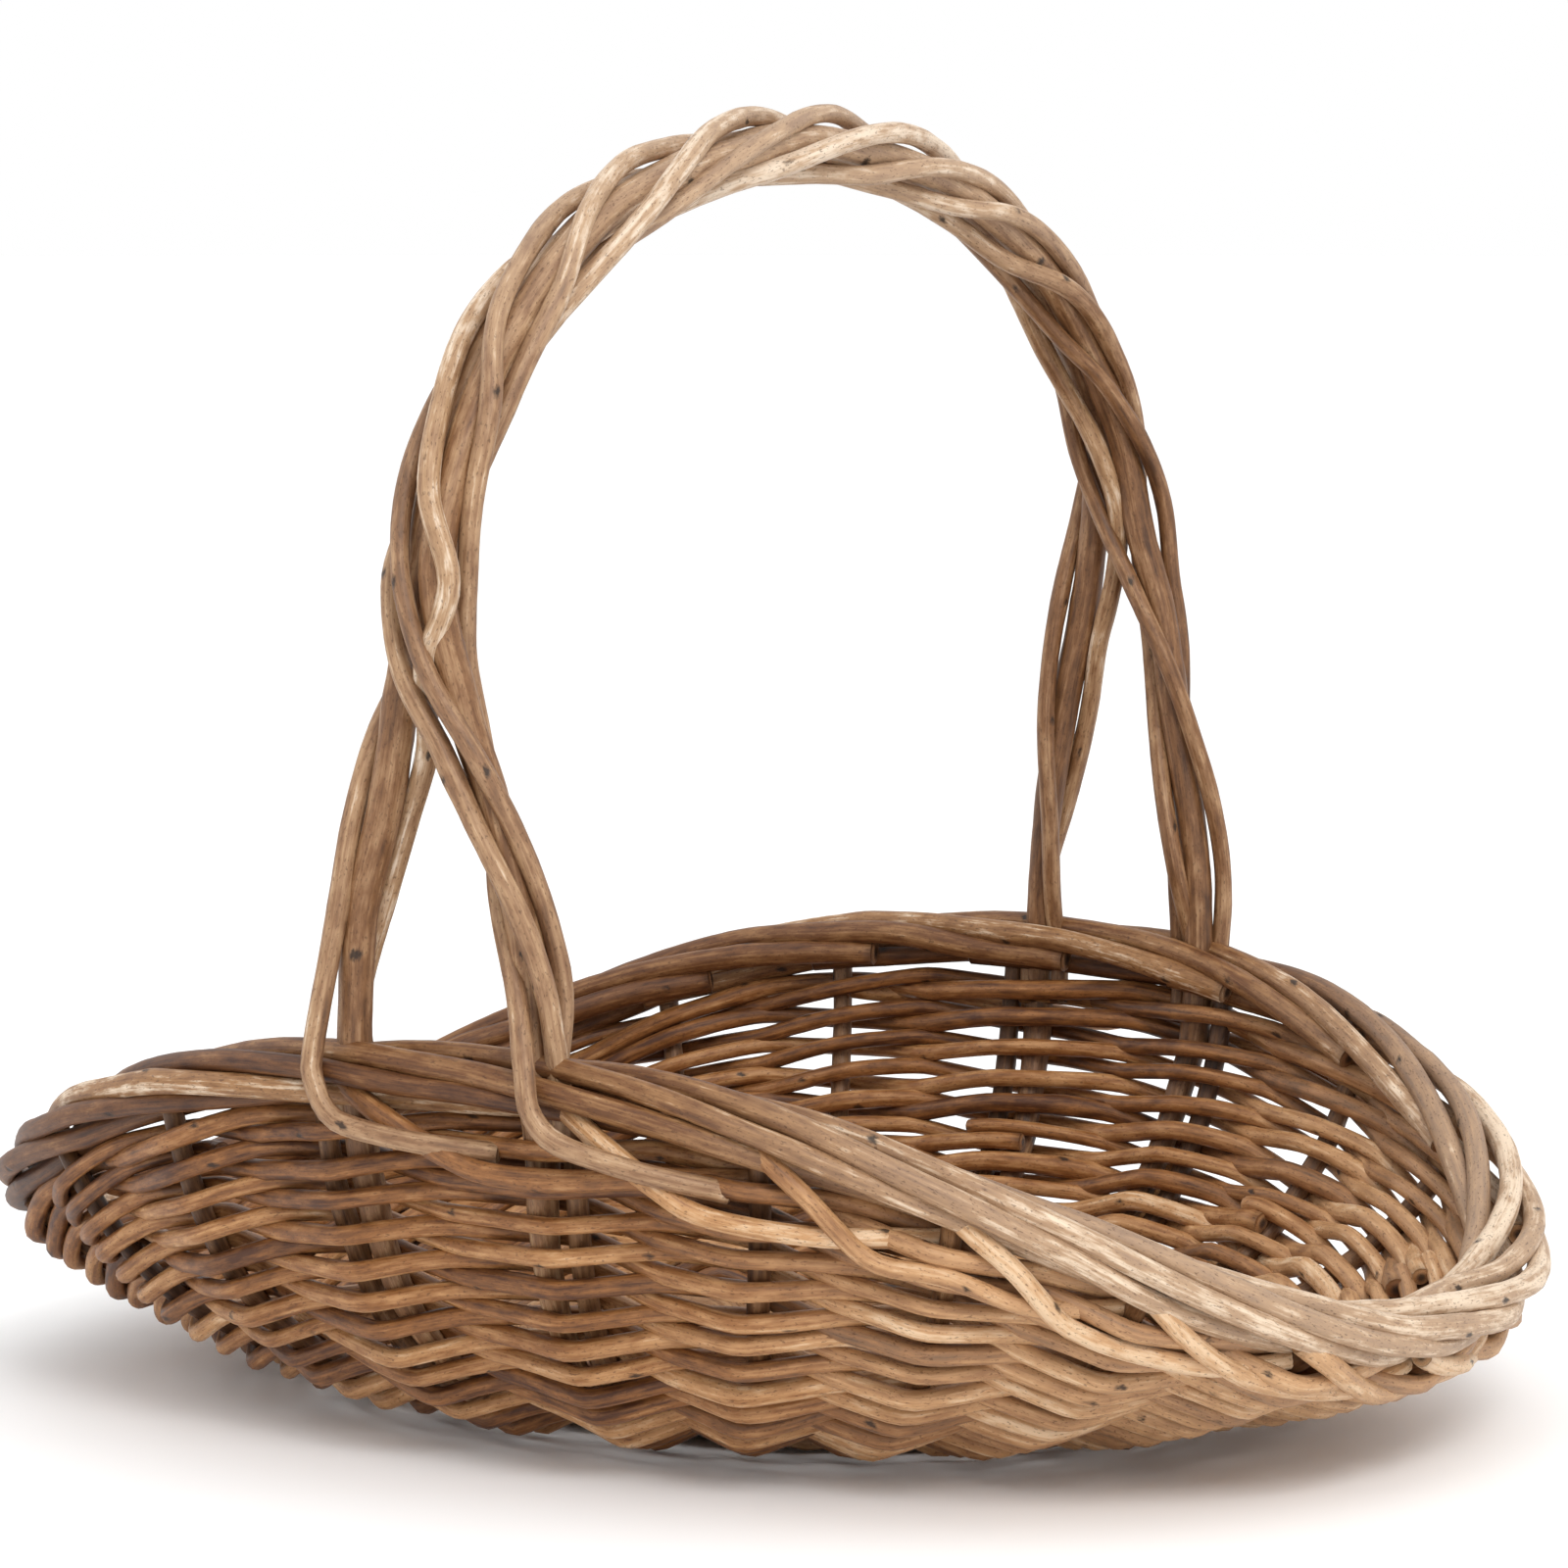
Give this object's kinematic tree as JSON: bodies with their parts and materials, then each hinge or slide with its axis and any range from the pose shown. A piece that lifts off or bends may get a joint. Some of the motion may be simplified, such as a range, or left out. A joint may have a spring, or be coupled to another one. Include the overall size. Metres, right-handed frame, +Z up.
{
  "type": "woven willow basket",
  "caption": "Shallow oval willow basket with flared ends, a rope-laid border that rises at the sides and a tall twisted arch handle.",
  "frame": {"origin": "middle of the overall box on the floor plane, under the woven base", "axes": "+X along the basket's long axis, +Y across it in the direction the handle spans, +Z up"},
  "size_m": [0.419, 0.3259, 0.3401],
  "materials": {
    "base_willow": "peeled willow rods, satin, brown",
    "stake_willow": "peeled willow rods, satin, dark brown",
    "weave_willow": "peeled willow weavers, satin, tan and brown mixed",
    "border_willow": "peeled willow rods, satin, tan, paler at one end",
    "handle_willow": "peeled willow rods, satin, pale tan with small dark knots"
  },
  "bodies": {
    "root": {"base_cross_stick_1": "base_willow", "base_cross_stick_2": "base_willow", "base_cross_stick_3": "base_willow", "base_cross_stick_4": "base_willow", "base_cross_stick_5": "base_willow", "base_cross_stick_6": "base_willow", "base_long_stick_1": "base_willow", "base_long_stick_2": "base_willow", "base_long_stick_3": "base_willow", "base_long_stick_4": "base_willow", "base_weave": "base_willow", "side_stake_01": "stake_willow", "side_stake_02": "stake_willow", "side_stake_03": "stake_willow", "side_stake_04": "stake_willow", "side_stake_05": "stake_willow", "side_stake_06": "stake_willow", "side_stake_07": "stake_willow", "side_stake_08": "stake_willow", "side_stake_09": "stake_willow", "side_stake_10": "stake_willow", "side_stake_11": "stake_willow", "side_stake_12": "stake_willow", "side_stake_13": "stake_willow", "side_stake_14": "stake_willow", "side_stake_15": "stake_willow", "side_stake_16": "stake_willow", "side_stake_17": "stake_willow", "side_stake_18": "stake_willow", "side_stake_19": "stake_willow", "side_stake_20": "stake_willow", "side_stake_21": "stake_willow", "side_stake_22": "stake_willow", "foot_wale": "weave_willow", "side_weave": "weave_willow", "top_wale": "weave_willow", "border_outer_low": "border_willow", "border_outer_high": "border_willow", "border_inner_low": "border_willow", "border_inner_high": "border_willow", "border_middle_front_low": "border_willow", "border_middle_front_high": "border_willow", "border_middle_back_low": "border_willow", "border_middle_back_high": "border_willow", "handle_core_left": "handle_willow", "handle_core_right": "handle_willow", "handle_wrap_left_outer": "handle_willow", "handle_wrap_left_inner": "handle_willow", "handle_wrap_right_inner": "handle_willow", "handle_wrap_right_outer": "handle_willow", "handle_wrap_right_side": "handle_willow"}
  },
  "joints": []
}
